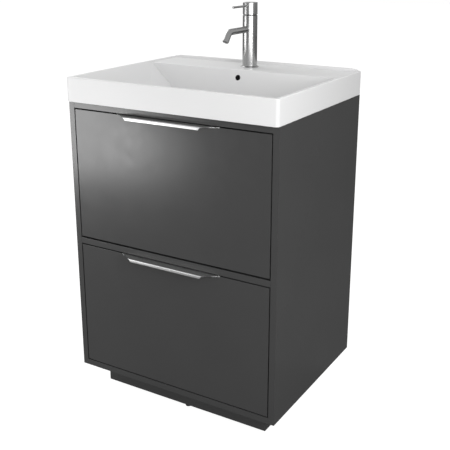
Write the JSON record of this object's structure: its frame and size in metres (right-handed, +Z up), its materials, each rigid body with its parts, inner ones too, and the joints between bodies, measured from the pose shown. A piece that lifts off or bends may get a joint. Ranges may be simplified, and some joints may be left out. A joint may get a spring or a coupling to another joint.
{
  "type": "bathroom vanity cabinet",
  "caption": "Floor-standing bathroom vanity cabinet with stacked drawers, edge pulls, an inset ceramic basin with overflow, and a pin-lever mixer tap.",
  "frame": {"origin": "on the floor, at the middle of the overall width and of the overall depth from the handle lips to the basin's rear edge", "axes": "+Z up, +X to the right as seen by someone standing in front, +Y towards the wall"},
  "size_m": [0.6, 0.495, 1.0565],
  "materials": {
    "cabinet_board": "satin anthracite lacquer",
    "drawer_board": "matt grey melamine",
    "back_board": "matt grey melamine",
    "handle_aluminium": "brushed",
    "basin_ceramic": "glossy white glaze",
    "tap_chrome": "polished",
    "aerator_steel": "satin",
    "zinc_steel": "zinc plated",
    "foot_plastic": "black",
    "white_plastic": "white",
    "seal_rubber": "matt"
  },
  "bodies": {
    "cabinet": {"left_side_panel": "cabinet_board", "right_side_panel": "cabinet_board", "bottom_panel": "cabinet_board", "top_front_rail": "cabinet_board", "top_rear_rail": "cabinet_board", "middle_rail": "cabinet_board", "back_panel": "back_board", "plinth_front": "cabinet_board", "plinth_left_return": "cabinet_board", "plinth_right_return": "cabinet_board", "foot_front_left": "foot_plastic", "foot_front_right": "foot_plastic", "foot_rear_left": "foot_plastic", "foot_rear_right": "foot_plastic", "foot_centre": "foot_plastic", "foot_sockets": "zinc_steel", "top_runner_left_rail": "zinc_steel", "top_runner_right_rail": "zinc_steel", "lower_runner_left_rail": "zinc_steel", "lower_runner_right_rail": "zinc_steel", "runner_screws": "zinc_steel", "basin": "basin_ceramic", "waste_flange": "tap_chrome", "waste_body": "tap_chrome", "waste_seal": "seal_rubber", "waste_nut": "white_plastic", "trap_nut": "white_plastic", "trap_bottle": "white_plastic", "trap_outlet_pipe": "white_plastic", "tap_base_ring": "tap_chrome", "tap_body": "tap_chrome", "tap_spout": "tap_chrome", "tap_aerator": "aerator_steel", "tap_cartridge": "white_plastic", "tap_fixing_stud": "zinc_steel", "tap_fixing_washer": "zinc_steel", "tap_fixing_nut": "zinc_steel"},
    "top_drawer": {"top_drawer_front": "cabinet_board", "top_drawer_left_side": "drawer_board", "top_drawer_right_side": "drawer_board", "top_drawer_bottom": "drawer_board", "top_drawer_backs": "drawer_board", "top_drawer_trap_guard": "drawer_board", "top_handle": "handle_aluminium", "top_handle_screws": "zinc_steel", "top_drawer_runners": "zinc_steel"},
    "lower_drawer": {"lower_drawer_front": "cabinet_board", "lower_drawer_left_side": "drawer_board", "lower_drawer_right_side": "drawer_board", "lower_drawer_bottom": "drawer_board", "lower_drawer_back": "drawer_board", "lower_handle": "handle_aluminium", "lower_handle_screws": "zinc_steel", "lower_drawer_runners": "zinc_steel"},
    "top_middle_runners": {"top_runner_middles": "zinc_steel"},
    "lower_middle_runners": {"lower_runner_middles": "zinc_steel"},
    "tap_turner": {"tap_swivel": "zinc_steel"},
    "tap_handle": {"tap_cap": "tap_chrome", "tap_lever": "tap_chrome"},
    "waste_pop_up": {"waste_plug": "tap_chrome"}
  },
  "joints": [
    {"name": "top_drawer_slide", "type": "slide", "parent": "cabinet", "child": "top_drawer", "axis": [0, -1, 0], "range_m": [0, 0.4]},
    {"name": "top_middle_runner_slide", "type": "slide", "parent": "cabinet", "child": "top_middle_runners", "axis": [0, -1, 0], "range_m": [0, 0.2]},
    {"name": "lower_drawer_slide", "type": "slide", "parent": "cabinet", "child": "lower_drawer", "axis": [0, -1, 0], "range_m": [0, 0.4]},
    {"name": "lower_middle_runner_slide", "type": "slide", "parent": "cabinet", "child": "lower_middle_runners", "axis": [0, -1, 0], "range_m": [0, 0.2]},
    {"name": "tap_turn", "type": "hinge", "parent": "cabinet", "child": "tap_turner", "pos_m": [0, 0.1785, 1.0245], "axis": [0, 0, 1], "range_deg": [-45, 45]},
    {"name": "tap_lift", "type": "hinge", "parent": "tap_turner", "child": "tap_handle", "pos_m": [0, 0.196, 1.0245], "axis": [-1, 0, 0], "range_deg": [0, 20]},
    {"name": "waste_pop_up_slide", "type": "slide", "parent": "cabinet", "child": "waste_pop_up", "axis": [0, 0, 1], "range_m": [0, 0.01]}
  ],
  "couplings": [
    {"joint": "top_middle_runner_slide", "follows": "top_drawer_slide", "ratio": 0.5},
    {"joint": "lower_middle_runner_slide", "follows": "lower_drawer_slide", "ratio": 0.5}
  ]
}
